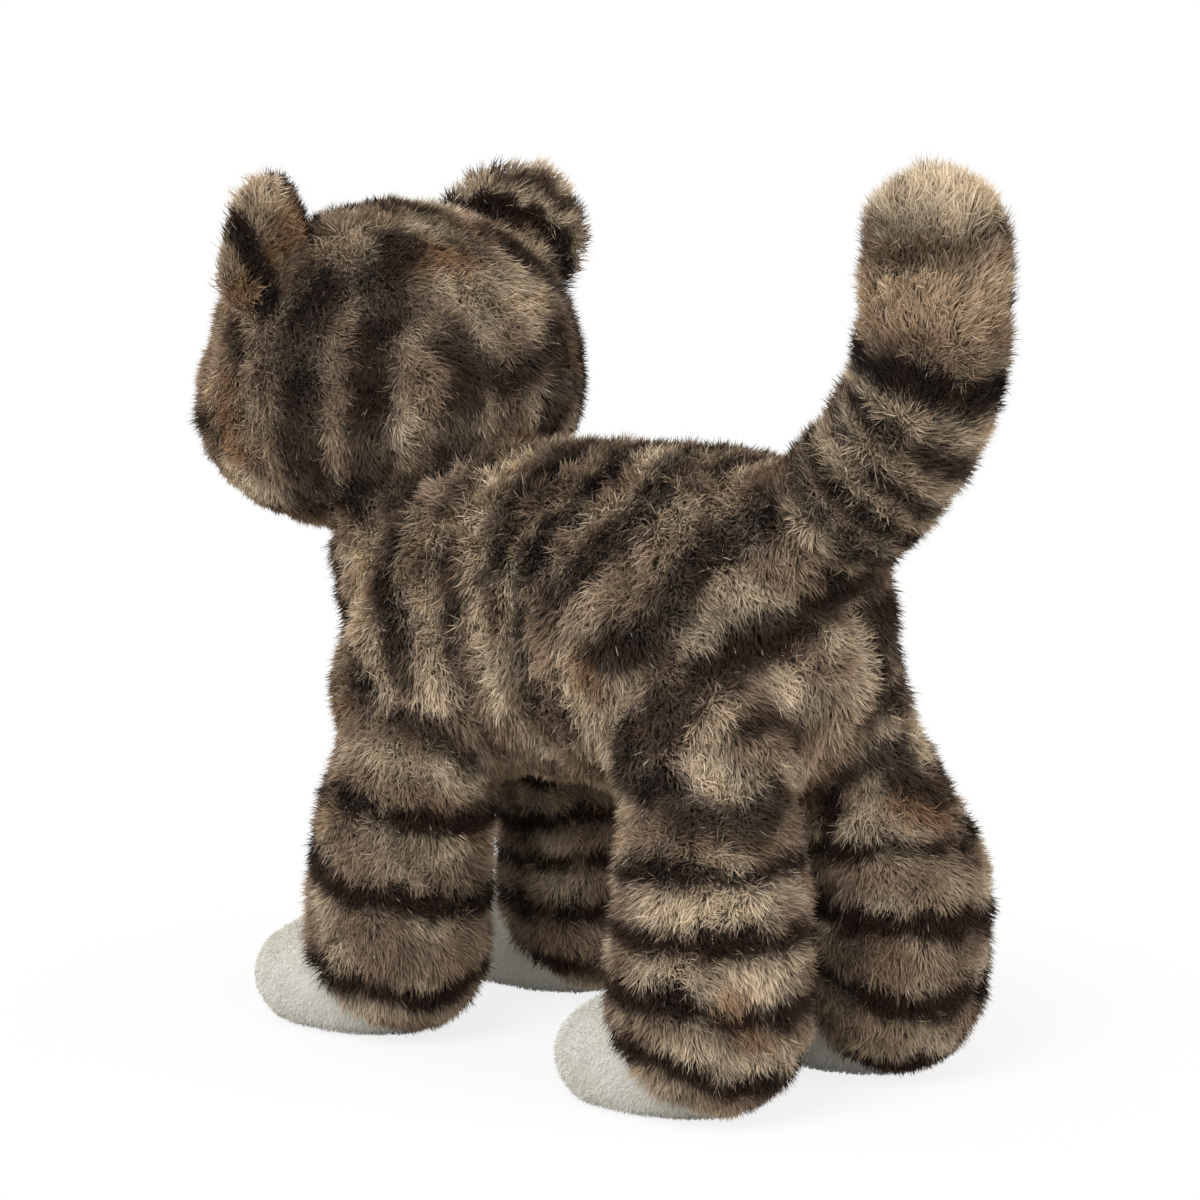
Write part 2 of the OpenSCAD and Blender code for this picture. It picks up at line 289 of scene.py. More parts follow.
# the bulbs of the trunk, chest to rump: y and z of the middle, then the three radii
trunk = ((-40, 90, 24, 26, 28), (-30, 92, 29, 28, 32), (-5, 93.5, 31, 26, 33),
         (20, 95, 31.5, 26, 33.5), (42, 97, 32, 24, 33), (52, 96, 28, 19, 31))
for (ya, za, *a), (yb, zb, *b) in zip(trunk, trunk[1:]):
    capsule(bm, (0, ya, za), tuple(a), (0, yb, zb), tuple(b))
ball(bm, (0, -46, 111), (23, 21, 24))
ball(bm, (0, -51, 101), (20, 20, 18))
ball(bm, head_at, (39.5, 38, 34))
ball(bm, head_at + Vector((0, -29, -9)), (16.5, 16, 13.5))
for side in (1, -1):
    ball(bm, head_at + Vector((side * 20, -8, -8)), (20, 22, 20))
    # a hind leg is the thicker one, and its hip lies forward of its foot
    for stand, wide, hip, round_hip in ((front_y, 17.2, 0, (15.7, 20.5, 24)),
                                        (hind_y, 18.2, -13, (15.5, 18, 24))):
        x = side * leg_x
        ball(bm, (side * (19.5 + hip / 6.5), stand + hip, hip_z), round_hip)
        thigh = (side * (21.5 + hip / 13), stand + hip / 2, thigh_z)
        capsule(bm, thigh, wide - 3, (x, stand, knee_z), wide)
        capsule(bm, (x, stand, knee_z), wide, (x, stand, ankle_z), wide)
        ball(bm, (x, stand - 1.5, 14), (wide - 2.5, wide - 2.5, 13.5))
        ball(bm, (x + side * 0.5, stand - 11, 11.5), (18, 19, 13))
        ball(bm, (x + side * 0.5, stand - 20, 10.5), (18, 19.5, 12.6))
ball(bm, (0, 67, 120), (15, 15, 15))
stops = [tail_line(step * k) for k in range(steps_up)]
for a, b in zip(stops, stops[1:]):
    capsule(bm, a, tail_half, b, tail_half)
form = as_object(bm, "form")
welded(form, 2.4, smooth=7)
print("form, faces:", len(form.data.polygons))

# %% [markdown]
# ## Stuffing pressure
# The remesh leaves a clay figure: even, and slack at its seams. Cloth simulation gives
# the tension of real stuffing. The skin is a closed cloth with pressure inside, the sewn
# lines (the neck, the tail's root, the tops of the legs) are pinned, and gravity is off.
# Twenty frames are enough, and no point may move more than the cap. The toy is small in
# metres, so at the usual pressure of 4 against springs of 15 its skin moves only
# 0.01 mm. Softer springs and a far higher pressure give bulges of 1 to 2 mm.

# %% Sewn lines
neck_at, neck_way = Vector((0, -29, 127.5)), Vector((0, -0.504, 0.864))
tail_way = Vector((0, math.cos(slope), math.sin(slope)))
# in millimetres: the y that parts front from hind, then the heights of the crotch, of the
# belly's edge and of the lowest part of the tail
halfway_y, crotch_z, belly_z, tail_z = 12, 58, 70, 100


def points(obj):
    """An object's points as an array, in millimetres."""
    co = np.empty(len(obj.data.vertices) * 3)
    obj.data.vertices.foreach_get("co", co)
    return co.reshape(-1, 3) / mm


def put_points(obj, co):
    """Moves an object's points to an array of places in millimetres."""
    obj.data.vertices.foreach_set("co", (co * mm).ravel())
    obj.data.update()


def outward(obj):
    """The direction out of the skin at each point."""
    n = np.empty(len(obj.data.vertices) * 3)
    obj.data.vertices.foreach_get("normal", n)
    return n.reshape(-1, 3)


def sewn(co):
    """How near each point is to a sewn line, 1 on it and 0 a few millimetres away."""
    def near(d, width):
        return np.exp(-(d / width) ** 2)
    neck = near((co - np.array(neck_at)) @ np.array(neck_way), 3.0)
    tail = near((co - np.array(tail_root)) @ np.array(tail_way) - 6, 3.0) * (co[:, 2] > 104)
    stand = np.where(co[:, 1] < halfway_y, front_y, hind_y)
    low = (co[:, 2] < 96) & (np.abs(co[:, 0]) > 6)
    reach = np.hypot(co[:, 1] - stand, (co[:, 2] - 72) * 0.86)
    legs = near(reach - 23, 2.2) * low * (co[:, 2] > crotch_z)
    return np.maximum(np.maximum(neck, tail), legs)


print("points near a seam:", int((sewn(points(form)) > 0.5).sum()))

# %% The cloth run


def puffed(obj, held, pressure=1000.0, frames=20, cap=2.5):
    """Blows a closed skin up while the held points stay, and moves none past the cap."""
    group = obj.vertex_groups.new(name="held")
    for i in np.nonzero(held > 0.5)[0]:
        group.add([int(i)], 1.0, "REPLACE")
    before = points(obj)
    cloth = obj.modifiers.new("cloth", "CLOTH")
    cloth.settings.vertex_group_mass = "held"
    cloth.settings.use_pressure, cloth.settings.uniform_pressure_force = True, pressure
    cloth.settings.effector_weights.gravity = 0
    cloth.settings.quality, cloth.settings.mass = 4, 0.001
    for spring in ("tension", "compression", "shear"):
        setattr(cloth.settings, f"{spring}_stiffness", 1.0)
    cloth.settings.bending_stiffness = 0.05
    cloth.point_cache.frame_start, cloth.point_cache.frame_end = 1, frames
    for frame_number in range(1, frames + 1):
        scene.frame_set(frame_number)
    applied(obj)
    move = points(obj) - before
    far = np.linalg.norm(move, axis=1, keepdims=True)
    put_points(obj, before + move * np.minimum(1, cap / np.maximum(far, 1e-9)))
    obj.vertex_groups.clear()
    print(obj.name, "puffed, mm:", far.mean().round(2), "most:", far.max().round(2))


puffed(form, sewn(points(form)))

# %% [markdown]
# ## Creases and a flat stand
# A seam pulls the fabric in, so the skin sinks a little along every sewn line. The feet
# are pressed flat where they stand. One round of subdivision then gives faces small
# enough to be parted cleanly into panels.

# %% Soft seams and a flat stand
crease, lowest = 1.3, 0.4
co = points(form)
co -= outward(form) * (crease * sewn(co))[:, None]
co[:, 2] = np.maximum(co[:, 2], lowest)
put_points(form, co)
finer = form.modifiers.new("finer", "SUBSURF")
finer.levels = finer.render_levels = 1
applied(form)
print("skin, faces:", len(form.data.polygons))

# %% [markdown]
# ## Cutting the skin into its panels
# The real skin is sewn from panels: two sides and a belly, two head sides with a strip
# over the crown, a tail, four legs, four white toe caps and four soles. Planes cut the
# skin along those seams, and each panel is then lifted out as its own piece and given
# the thickness of fur fabric. The skin is cut where it will also have to bend, so that
# each panel only ever crosses one joint.

# %% Planes between the panels
up, across, along_y = Vector((0, 0, 1)), Vector((1, 0, 0)), Vector((0, 1, 0))
neck_cut, tail_cut = neck_at - 2 * neck_way, tail_root + 5 * tail_way
toe_lean, toe_out, sole_top = math.radians(46), 11, 1.1
toe_way = Vector((0, math.cos(toe_lean), math.sin(toe_lean)))
cuts = [(neck_cut, neck_way), (tail_cut, tail_way), (Vector((0, 0, belly_z)), up),
        (Vector((0, 0, 0)), across), (Vector((0, 0, sole_top)), up)]
cuts += [(Vector((0, stand + toe_out, 0)), toe_way) for stand in (front_y, hind_y)]
bm = bmesh.new()
bm.from_mesh(form.data)
for at, way in cuts:
    bmesh.ops.bisect_plane(bm, geom=bm.verts[:] + bm.edges[:] + bm.faces[:], dist=1e-7,
                           plane_co=at * mm, plane_no=way)
bmesh.ops.remove_doubles(bm, verts=bm.verts, dist=0.05 * mm)
bm.to_mesh(form.data)
bm.free()
print("cut by", len(cuts), "planes, faces:", len(form.data.polygons))

# %% Which panel a face belongs to


def panel_of(c, n):
    """The name of the panel that a face with middle c and direction n belongs to."""
    if (c - neck_at).dot(neck_way) > -2:
        if (c - head_at - Vector((0, -33, -10))).length < 15.5:
            return "muzzle"
        if abs(c.x) < 11 and c.z > 119:
            return "crown"
        return "head_left" if c.x > 0 else "head_right"
    if (c - tail_root).dot(tail_way) > 5 and c.z > tail_z:
        return "tail"
    stand, where = (front_y, "front") if c.y < halfway_y else (hind_y, "hind")
    side = "left" if c.x > 0 else "right"
    reach = 24 if c.z > 35 else 46
    # below the crotch the whole of a leg is leg, its innermost sliver too, or it would tear
    if c.z < crotch_z or c.z < belly_z and abs(c.x) > 7.5 and -reach < c.y - stand < 24:
        if c.z < sole_top and n.z < -0.5:
            return f"{where}_sole_{side}"
        if (c - Vector((0, stand + toe_out, 0))).dot(toe_way) < 0:
            return f"{where}_cap_{side}"
        return f"{where}_leg_{side}"
    return "belly" if c.z < belly_z else f"trunk_{side}"


panel = [panel_of(Vector(f.center) / mm, f.normal) for f in form.data.polygons]
names = sorted(set(panel))


def lifted(name):
    """One panel of the skin, copied out as a piece of its own."""
    bm = bmesh.new()
    bm.from_mesh(form.data)
    bm.faces.ensure_lookup_table()
    others = [f for f, p in zip(bm.faces, panel) if p != name]
    bmesh.ops.delete(bm, geom=others, context="FACES")
    return as_object(bm, name)


pieces = {name: lifted(name) for name in names}
print("panels:", {n: len(p.data.polygons) for n, p in pieces.items()})

# %% [markdown]
# ## Ears
# An ear is two fabrics sewn round the edge and turned: long pile behind, short pale
# plush in front, with almost no stuffing. It is cupped a little forwards. A squashed
# ball gives both at once: it is cut through its middle into the two fabrics, drawn in
# towards the tip, bent to a cup, and then set on the head. Blender may hand over a ball's
# faces in another order in each run, and pile is grown face by face, so the faces are
# first put in one fixed order. Without that the ears' pile would differ every time.

# %% Ear fabrics
# where the foot of each ear sits, then its turn and its lean in degrees
ear_place = {"left": (Vector((31.5, -66, 161)), 20, 30),
             "right": (Vector((-29.5, -64.5, 158)), -32, -30)}
ear_half, ear_high = 15.5, 13.5


def ear_matrix(side):
    """Sets an ear, made upright at the origin, on the head."""
    at, turn, lean = ear_place[side]
    return Matrix.Translation(at) @ Matrix.Rotation(math.radians(turn), 4, "Z") \
        @ Matrix.Rotation(math.radians(lean), 4, "Y")


def settled(obj):
    """Puts an object's faces in one fixed order, each from its lowest corner on."""
    corners = [list(f.vertices) for f in obj.data.polygons]
    faces = sorted(c[c.index(min(c)):] + c[:c.index(min(c))] for c in corners)
    old, obj.data = obj.data, bpy.data.meshes.new(obj.name)
    obj.data.from_pydata([v.co[:] for v in old.vertices], [], faces)
    bpy.data.meshes.remove(old)
    return obj


def ear_fabric(side, behind):
    """One of an ear's two fabrics: the half of a squashed ball behind, or in front."""
    bm = bmesh.new()
    bmesh.ops.create_uvsphere(bm, u_segments=64, v_segments=48, radius=1,
                              matrix=Matrix.Diagonal((ear_half, 2.6, ear_high, 1)))
    bmesh.ops.bisect_plane(bm, geom=bm.verts[:] + bm.edges[:] + bm.faces[:], dist=1e-6,
                           plane_co=(0, 0, 0), plane_no=(0, 1, 0), clear_inner=behind,
                           clear_outer=not behind)
    for v in bm.verts:
        high = (v.co.z + ear_high) / (2 * ear_high)
        v.co.x *= 1.06 - 0.28 * high ** 2
        v.co.y -= 0.014 * v.co.x ** 2 + 0.010 * (v.co.z - 2) ** 2 * (v.co.z > 2)
        v.co.z += 9.5
    bmesh.ops.transform(bm, matrix=Matrix.Scale(mm, 4) @ ear_matrix(side), verts=bm.verts)
    return settled(as_object(bm, "ear fabric"))


for side in ("left", "right"):
    pieces[f"ear_back_{side}"] = ear_fabric(side, True)
    pieces[f"ear_lining_{side}"] = ear_fabric(side, False)
print("ear fabrics:", [n for n in pieces if n.startswith("ear")])

# %% [markdown]
# ## The tabby pattern
# The pattern is dyed into the pile before the fabric is cut, so it runs over the panels
# without regard to their seams: dark bars over warm taupe, with tan and cream between.
# It could be painted on an image. Here each bar is a soft stroke through points in
# space, in millimetres, and a fibre takes the colour of the strokes that pass its root.
# The bars on the flanks and the head are set on both sides, those on legs are rings.

# %% Strokes, in millimetres
both_sides = [
    ("dark", 3.9, (28, -55, 159), (35, -55, 150), (37, -53, 140), (36, -53, 131),
     (33, -55, 121), (28, -60, 114)),
    ("dark", 3.9, (14, -50, 167), (23, -42, 156), (28, -41, 149), (29, -40, 138),
     (28, -42, 125), (25, -50, 116)),
    ("dark", 3.6, (14, -32, 148), (13, -29, 140), (13, -30, 131), (14, -32, 123),
     (19, -34, 117), (21, -39, 116)),
    ("dark", 1.8, (34, -74, 152), (37, -70, 147)),
    ("tan", 3.4, (38, -72, 138), (39, -71, 126)),
    ("dark", 1.0, (0, -26, 125), (14, -19, 121), (18, -20, 118), (23, -19, 113)),
    ("dark", 2.4, (17, -62, 107), (17, -57, 100), (17, -58, 90), (27, -46, 87)),
    ("dark", 2.2, (23, -31, 110), (27, -33, 100), (31, -28, 91), (33, -24, 82)),
    ("dark", 2.3, (27, -14, 107), (29, -8, 102), (30, -10, 93), (29, -10, 85), (22, -9, 72)),
    ("dark", 2.6, (-1, -3, 126), (11, 2, 125), (20, -1, 118), (27, 3, 110), (29, 2, 106)),
    ("dark", 2.6, (-1, 14, 127), (15, 20, 124), (22, 20, 118), (26, 15, 112), (29, 13, 107)),
    ("dark", 2.0, (31, 14, 100), (31, 14, 93), (29, 14, 83)),
    ("dark", 2.6, (-1, 31, 129), (17, 38, 124), (24, 37, 118), (28, 32, 111), (30, 24, 105)),
    ("dark", 1.3, (0, 43, 130), (12, 46, 126)),
    ("dark", 3.3, (13, 64, 124), (17, 58, 118), (23, 54, 113), (27, 53, 106), (30, 48, 99),
     (31, 37, 96)),
    ("dark", 3.8, (5, 75, 110), (9, 69, 103), (18, 66, 100), (25, 64, 95), (31, 61, 90),
     (35, 54, 83),
     (34, 46, 77), (34, 43, 70)),
    ("dark", 2.2, (24, 72, 84), (17, 72, 84), (10, 70, 80)),
    ("tan", 3.6, (31, 34, 94), (31, 33, 90)),
    ("dark", 2.0, (35, -36, 79), (35, -30, 77)),
    ("dark", 1.8, (33, -25, 74), (29, -17, 69), (22, -15, 62)),
    ("dark", 2.9, (35, 47, 72), (36, 58, 71), (36, 66, 66), (32, 73, 63), (24, 76, 66),
     (16, 74, 69)),
    ("pale", 5.6, (33, 66, 75), (30, 70, 74.5), (26, 73, 74)),
    ("pale", 4.4, (24, -46, 103), (24, -47, 92), (32, -34, 87)),
    ("pale", 3.2, (29, -20, 97), (30, -19, 89), (30, -17, 78)),
    ("pale", 3.8, (24, -10, 113), (19, -11, 118), (8, -11, 124)),
    ("pale", 3.6, (30, 34, 104), (31, 28, 96), (28, 29, 82)),
    ("pale", 3.2, (30, 0, 100), (30, 3, 90), (28, 4, 81)),
    ("pale", 2.4, (9, 70, 107), (3, 70, 100)),
    ("dark", 2.0, (10, -96, 158), (9, -86, 166), (11, -76, 168)),
    ("dark", 1.8, (36, -82, 130), (30, -93, 131)),
    ("dark", 1.6, (34, -84, 120), (27, -93, 121)),
    ("pale", 5.0, (12, -100, 146), (20, -96, 141)),
]
one_side = [
    ("dark", 3.0, (6, -78, 170), (2, -67, 171), (-2, -59, 171)),
    ("tan", 4.0, (17, -47, 163), (3, -41, 164)),
    ("dark", 2.2, (11, -30, 146), (3, -27, 141), (-9, -29, 146), (-16, -31, 141), (-28, -40, 131)),
    ("tan", 3.0, (-4, -29, 128), (-2, -30, 127)),
    ("dark", 1.8, (0, -98, 156), (0, -88, 166)),
    ("dark", 2.0, (8, 81, 119), (4, 83, 118), (-5, 81, 116)),
    ("dark", 2.2, (-11, 69, 96), (-16, 69, 92), (-15, 71, 87)),
    ("pale", 2.6, (5, 70, 87), (-4, 70, 86)),
    ("dark", 3.0, (-8, 68, 69), (-12, 72, 72), (-20, 74, 72)),
    ("dark", 2.0, (-6, 64, 64), (-7, 64, 56)),
    ("tan", 4.5, (-17, 76, 62), (-28, 76, 61)),
    ("pale", 5.0, (0, -58, 104), (0, -66, 96), (0, -64, 84)),
    ("pale", 6.0, (7, -39, 159), (-10, -33, 154)),
    ("pale", 4.5, (43, 66, 34), (38, 75, 33), (28, 80, 34)),
    ("pale", 4.5, (42, 68, 18), (38, 75, 17), (30, 79, 16)),
    ("pale", 4.0, (43, 64, 48), (38, 75, 48), (30, 80, 49)),
    ("tan", 3.5, (36, 76, 30), (30, 79, 22)),
    ("dark", 1.6, (-8, 108, 175), (-9, 107.5, 168)),
]
# Rings on a leg: half width, then height against the bearing round the leg, outside first.
leg_rings = {
    ("front", "left"): [(2.4, (-52, 54.5), (7, 53.8), (74, 50.2), (180, 52)),
                        (2.6, (-41, 41.6), (10, 35.8), (56, 33.4), (122, 32.7), (-120, 38)),
                        (2.3, (-39, 17.6), (23, 15.5), (67, 12.3), (110, 18.1), (-150, 20))],
    ("front", "right"): [(2.0, (-171, 42), (150, 44.5), (113, 46.2), (0, 45)),
                         (2.0, (-177, 34), (142, 35.6), (96, 36), (0, 34)),
                         (2.2, (-163, 24.1), (151, 22.8), (105, 24.8), (0, 22)),
                         (1.8, (152, 12.6), (115, 10), (0, 12)), (2.0, (150, 54), (100, 56),
                          (0, 53))],
    ("hind", "left"): [(1.8, (-40, 53), (9, 54.6), (60, 54), (180, 55)),
                       (2.5, (-20, 42.1), (30, 41.4), (70, 42.3), (127, 41)),
                       (2.5, (12, 29.5), (56, 26.3), (116, 26.4), (-130, 30)),
                       (2.4, (-49, 20.2), (12, 18.2), (53, 12.8), (80, 11.2), (180, 14))],
    ("hind", "right"): [(2.8, (175, 40.6), (151, 38.1), (94, 37.2), (50, 35.9), (-60, 40)),
                        (2.6, (-169, 30.1), (163, 23), (123, 20.5), (84, 21.1), (-30, 24)),
                        (2.2, (170, 8), (126, 5.5), (98, 7.5), (0, 8)), (1.8, (0, 53),
                         (-60, 54), (60, 52))],
}
# Bands on the tail: half width, distance from the root, how far it tips, and how strong.
tail_bands = [("dark", 2.6, 11, 0.6, 0.8), ("dark", 2.4, 19, 0.6, 1), ("pale", 2.2, 24, 0.5, 0.7),
              ("dark", 2.0, 28, 0.7, 0.9), ("pale", 2.4, 32, 0.5, 0.7), ("dark", 2.4, 37, 0.5, 0.9),
              ("pale", 2.6, 43, 0.2, 0.8), ("dark", 4.0, 50, 0.1, 1), ("pale", 7.0, 66, 0, 1),
               ("tan", 6.0, 63, 0, 0.45),
              ("dark", 2.4, 77, -0.5, 0.6), ("tan", 3.0, 73, 0, 0.5), ("pale", 9.0, 88, 0, 1)]
# Bands on the back of an ear: half width, distance from its foot, how strong.
ear_bands = {"left": [("tan", 5, 13, 0.9), ("pale", 9, 17, 0.8)],
             "right": [("dark", 1.6, 21.5, 0.8), ("pale", 1.6, 18.3, 0.8), ("dark", 2.4, 14.6, 1),
                       ("pale", 4, 7.5, 0.9), ("pale", 1.5, 25, 0.9)]}
print("bars, rings and bands:", len(both_sides + one_side), sum(map(len, leg_rings.values())),
      len(tail_bands))

# %% [markdown]
# ## From bars to dye
# Real dye wanders along the fibres, so no bar has a ruled edge. Each stroke's edge is
# softened, and moved to and fro by slow ripples, which are sums of a few waves in chance
# directions. Every point of the skin gets three shares, of dark, tan and pale dye, and
# where strokes overlap the stronger one counts.

# %% Ripples and soft steps


def ripple(p, size, seed):
    """A smooth wandering value, about -1 to 1, with hills about size millimetres apart."""
    chance = np.random.default_rng(seed)
    total = np.zeros(len(p))
    for _ in range(5):
        way = chance.normal(size=3)
        way *= 2 * math.pi / np.linalg.norm(way) / (size * chance.uniform(0.7, 1.4))
        total += np.sin(p @ way + chance.uniform(0, 2 * math.pi))
    return total / 2.6


def soft_step(x):
    """Rises gently from 0 to 1 as x does, and stays there."""
    x = np.clip(x, 0, 1)
    return x * x * (3 - 2 * x)


def bearing(p, where, side):
    """The bearing of each point round its leg in degrees, 0 on the outside."""
    s = 1 if side == "left" else -1
    return np.degrees(np.arctan2(p[:, 1] - (front_y if where == "front" else hind_y),
                                 (p[:, 0] - s * leg_x) * s))


print("soft step:", soft_step(np.array([0.25, 0.5, 0.75])))

# %% Strokes on the skin


def on_skin(line):
    """A stroke with a point every few millimetres, each pulled onto the skin."""
    stops = []
    for a, b in zip(map(Vector, line), map(Vector, line[1:])):
        steps = max(1, round((b - a).length / 4))
        stops += [a.lerp(b, k / steps) for k in range(steps)]
    return [tuple(form.closest_point_on_mesh(p * mm)[1] / mm) for p in stops + [Vector(line[-1])]]


strokes = []
for bars, mirrored in ((both_sides, True), (one_side, False)):
    for kind, half, *line in bars:
        soft, wide = (2.0, 1.4 * half) if kind == "dark" else (2.8, half)
        strokes.append((kind, wide, on_skin(line), soft))
        if mirrored:
            strokes.append((kind, wide, on_skin([(-x, y + 1.5, z) for x, y, z in line]), soft))
print("strokes laid:", len(strokes))

# %% Laying strokes, rings and bands


def distance_to(line, p):
    """How far each point is from a broken line."""
    d = np.full(len(p), 1e9)
    for a, b in zip(line, line[1:]):
        ab = b - a
        t = np.clip((p - a) @ ab / (ab @ ab), 0, 1)
        d = np.minimum(d, np.linalg.norm(p - a - t[:, None] * ab, axis=1))
    return d


def lay(dye, kind, at, share):
    """Adds a share of dye to the chosen points, where it is more than they have."""
    dye[kind][at] = np.maximum(dye[kind][at], share)


def lay_strokes(dye, p, stray, fade):
    """The bars of the flanks and the head, each fading over its soft edge."""
    for kind, half, line, soft in strokes:
        line = np.array(line, float)
        reach = half + soft + 3
        at = np.nonzero(((p > line.min(0) - reach) & (p < line.max(0) + reach)).all(1))[0]
        if len(at):
            d = distance_to(line, p[at])
            lay(dye, kind, at, soft_step((half + soft - d - stray[at]) / (2 * soft)) * fade[at])


def lay_rings(dye, p, stray):
    """The rings of the legs, whose height changes with the bearing."""
    for (where, side), rings in leg_rings.items():
        stand = front_y if where == "front" else hind_y
        at = np.nonzero((p[:, 2] < 62) & ((p[:, 0] > 0) == (side == "left"))
                        & (np.abs(p[:, 1] - stand) < 45)
                        & ((p[:, 1] < halfway_y) == (where == "front")))[0]
        round_leg = bearing(p[at], where, side)
        for half, *stops in rings:
            level = np.interp(round_leg, *zip(*sorted(stops)), period=360)
            off = np.abs(p[at, 2] - level)
            lay(dye, "dark", at, soft_step((1.2 * half + 1.6 - off - stray[at]) / 3.2))


def lay_tail_bands(dye, p, stray):
    """The bands of the tail, by distance from its root along the middle line."""
    at = np.nonzero((p - np.array(tail_root)) @ np.array(tail_way) > 4)[0]
    at = at[p[at, 2] > tail_z]
    steps = np.arange(0, 100, 1.0)
    line = np.array([tail_line(w) for w in steps])
    if not len(at):
        return
    from_line = ((p[at, None, 1:] - line[None, :, 1:]) ** 2).sum(2)
    along = steps[from_line.argmin(1)]
    for kind, half, w, tip, strong in tail_bands:
        off = np.abs(along - w - tip * p[at, 0] * 0.6)
        lay(dye, kind, at, strong * soft_step((half + 1.8 - off - stray[at]) / 3.6))


# %% The whole cover


def cover(p):
    """How much dark, tan and pale dye each point has, from the strokes near it."""
    fade = 0.88 + 0.12 * np.clip(ripple(p, 12, 63), -1, 1)
    stray = ripple(p, 9, 5) + ripple(p, 3.5, 6) * 0.6
    dye = {"dark": 0.38 * soft_step(ripple(p, 15, 60) - 0.15),
           "tan": 0.25 * soft_step(ripple(p, 20, 61) - 0.3),
           "pale": 0.62 * soft_step(ripple(p, 13, 62) + 0.25)}
    lay_strokes(dye, p, stray, fade)
    lay_rings(dye, p, stray)
    lay_tail_bands(dye, p, stray)
    return dye


def ear_cover(p, side):
    """The dye on the back of an ear, in rings about the middle of its foot."""
    back = np.array(ear_matrix(side).inverted())
    q = p @ back[:3, :3].T + back[:3, 3]
    reach = np.hypot(q[:, 0] * 0.9, q[:, 2] + 2) + ripple(p, 7, 70) * 1.2
    dye = {kind: 0.3 * soft_step(ripple(p, 9, 71)) for kind in ("dark", "tan", "pale")}
    for kind, half, at, strong in ear_bands[side]:
        share = strong * soft_step((half + 1.2 - np.abs(reach - at)) / 2.4)
        dye[kind] = np.maximum(dye[kind], share)
    if side == "left":
        edge = np.maximum(2.4 - np.abs(q[:, 0] - 9), 3.0 - np.abs(q[:, 0] + 12))
        dye["dark"] = np.maximum(dye["dark"], soft_step((edge + 1 + ripple(p, 6, 72)) / 2.2))
    return dye


test = cover(points(form)[::7])
print("dyed shares:", {k: round(float((v > 0.5).mean()), 2) for k, v in test.items()})

# %% [markdown]
# ## Fabric thickness and filling
# Each panel becomes a real fabric 1.2 mm thick, thickened inwards so that its face keeps
# its place. Under it lies polyester fibre, packed hard. The filling is the same form
# again, drawn in by more than the fabric's thickness, cut where the body bends, and
# closed over.

# %% Thickness and filling
fabric_thick, ear_thick, packed_in = 1.2, 0.8, 2.6


def thickened(piece, thick):
    """Gives a panel its thickness in millimetres, inwards."""
    wall = piece.modifiers.new("thickness", "SOLIDIFY")
    wall.thickness, wall.offset = thick * mm, -1
    return applied(piece)


stuffing = form.copy()
stuffing.data = form.data.copy()
stuffing.name = "stuffing"
scene.collection.objects.link(stuffing)
welded(stuffing, 3.2, smooth=2)
put_points(stuffing, points(stuffing) - outward(stuffing) * packed_in)


def filling(name, *planes):
    """The part of the filling behind every plane, closed over where it is cut."""
    bm = bmesh.new()
    bm.from_mesh(stuffing.data)
    for at, way in planes:
        bmesh.ops.bisect_plane(bm, geom=bm.verts[:] + bm.edges[:] + bm.faces[:], dist=1e-7,
                               plane_co=Vector(at) * mm, plane_no=way, clear_outer=True)
    bmesh.ops.holes_fill(bm, edges=[e for e in bm.edges if e.is_boundary])
    pieces[name] = as_object(bm, name)


filling("filling_trunk", (neck_cut, neck_way), (tail_cut, tail_way),
        ((0, 0, thigh_z), -up))
filling("filling_head", (neck_cut, -neck_way))
filling("filling_tail", (tail_cut, -tail_way), ((0, 0, tail_z), -up))
for where, y_way in (("front", along_y), ("hind", -along_y)):
    for side, s in (("left", 1), ("right", -1)):
        filling(f"filling_{where}_{side}", ((0, halfway_y, 0), y_way), ((0, 0, thigh_z), up),
                ((0, 0, 0), -s * across))
bpy.data.objects.remove(stuffing)
print("filling:", {n: len(p.data.polygons) for n, p in pieces.items() if "filling" in n})

# %% [markdown]
# ## The pile
# Fur fabric is a knitted back with tens of thousands of fine fibres standing on each
# hand's breadth of it. Blender's hair system would draw them, but hair isn't a mesh and
# can't leave Blender. So each fibre, or rather each lock of a few fibres, is a tiny kite
# of two triangles: rooted in the fabric, bent once, and ending in a point. The kites are
# too many for an operator, so they are worked out together as arrays. A comb direction
# lays them the way they were brushed, and slow ripples in it gather them into tufts.

# %% Comb directions
eyes = [(np.array(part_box(f"eye_{side}")[0]) + np.array(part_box(f"eye_{side}")[1])) / 2 / mm
        for side in ("left", "right")]
nose_at = (np.array(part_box("nose")[0]) + np.array(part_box("nose")[1])) / 2 / mm


def comb_way(name, p):
    """The direction each fibre is brushed in."""
    way = np.zeros_like(p)
    if name == "tail":
        line = np.array([tail_line(w) for w in range(0, 100, 2)])
        at = ((p[:, None, 1:] - line[None, :-1, 1:]) ** 2).sum(2).argmin(1)
        way = (line[1:] - line[:-1])[at] / 2.0
    elif name.startswith("ear"):
        upright = ear_matrix(name.split("_")[-1]).to_3x3() @ Vector((0, 0, 1))
        way = np.tile(np.array(upright), (len(p), 1))
    elif name in ("crown", "head_left", "head_right", "muzzle"):
        way[:] = (0, 0.75, -0.35)
        way[:, 0] = p[:, 0] * 0.008
        way[:, 2] -= soft_step((150 - p[:, 2]) / 40) * 0.5
    elif "leg" in name or "cap" in name or "sole" in name:
        way[:] = (0, 0.1, -1)
    else:
        way[:] = (0, 0.62, -0.62)
        way[:, 2] -= soft_step((110 - p[:, 2]) / 50) * 0.5
    return way


print("nose, mm:", nose_at.round(1))

